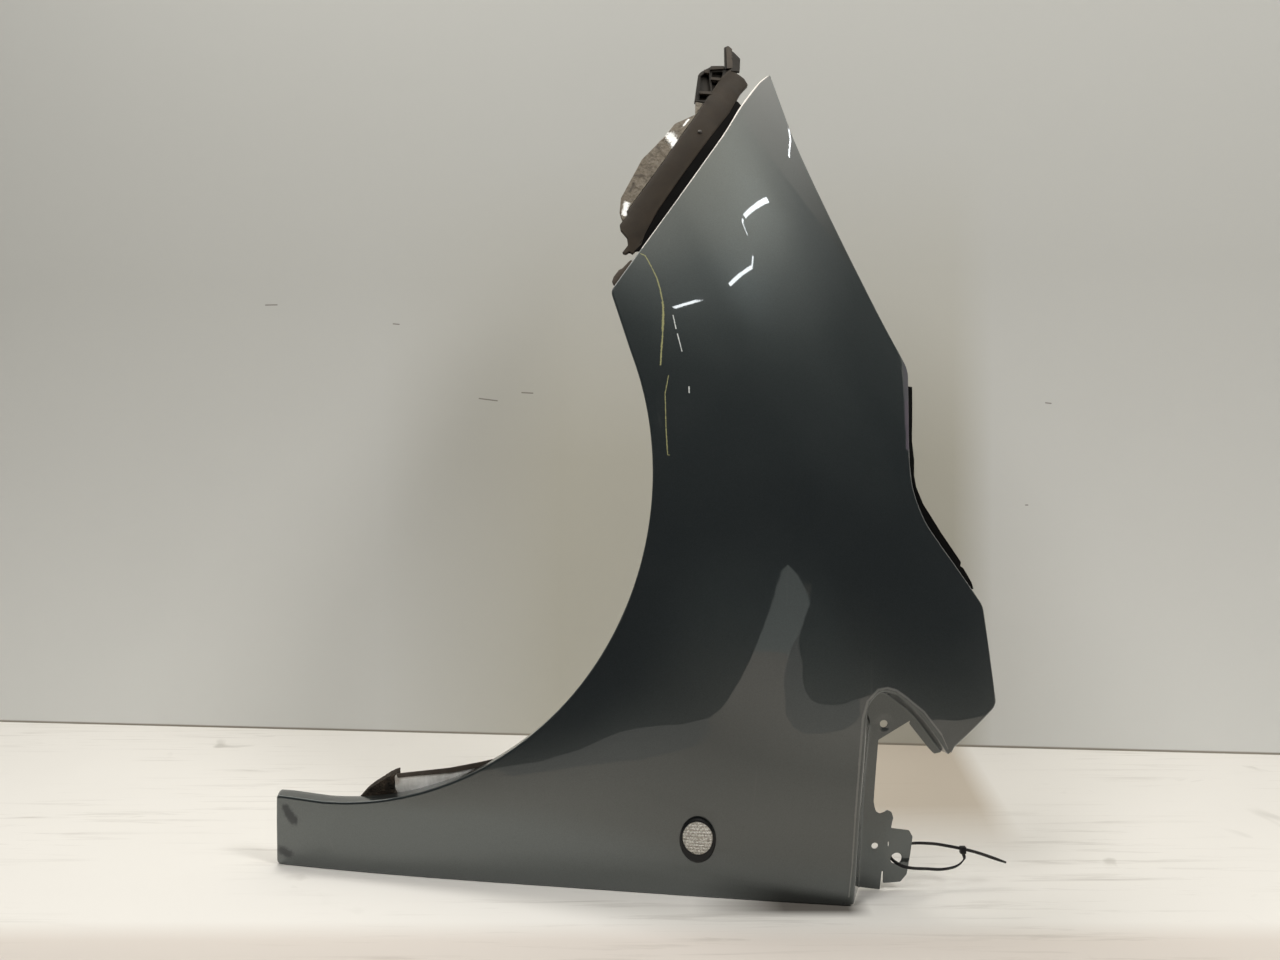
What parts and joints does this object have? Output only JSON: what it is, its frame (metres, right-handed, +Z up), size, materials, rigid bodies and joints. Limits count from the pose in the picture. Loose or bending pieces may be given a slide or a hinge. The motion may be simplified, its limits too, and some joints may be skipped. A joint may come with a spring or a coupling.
{
  "type": "car front fender",
  "caption": "Pressed steel left front fender of a car, standing on its door edge, with wheel arch, headlamp bracket, side repeater lamp and a strap on its pillar flange.",
  "frame": {"origin": "on the floor under the middle of the part's box, the panel standing on its door edge", "axes": "+Z up from the floor, which is towards the car's front; +X towards the car's roof; +Y inboard, away from the painted face"},
  "size_m": [0.7714, 0.3116, 0.97],
  "materials": {
    "body_paint": "dark blue-grey metallic clear coat, glossy",
    "black_plastic": "black moulded plastic, satin",
    "spring_steel": "plain spring steel",
    "foil_padding": "crinkled silver-brown foil on soft padding",
    "clip_plastic": "dark brown moulded plastic",
    "primer_grey": "flat light grey primer",
    "dark_foam": "rough dark brown foam",
    "clear_lens": "moulded clear plastic with a pale warm cast",
    "reflector_plating": "bright plated",
    "amber_glass": "amber bulb glass",
    "rubber": "black sealing foam"
  },
  "bodies": {
    "root": {"fender_panel": "body_paint", "headlamp_bracket": "black_plastic", "bracket_blade": "spring_steel", "bracket_pin": "spring_steel", "foil_pad": "foil_padding", "bumper_clip": "clip_plastic", "sill_stay": "primer_grey", "arch_foam": "dark_foam", "repeater_bezel": "black_plastic", "repeater_lens": "clear_lens", "repeater_reflector": "reflector_plating", "repeater_bulb": "amber_glass", "repeater_holder": "black_plastic", "repeater_gasket": "rubber", "repeater_clip": "spring_steel", "cable_tie": "black_plastic"}
  },
  "joints": []
}
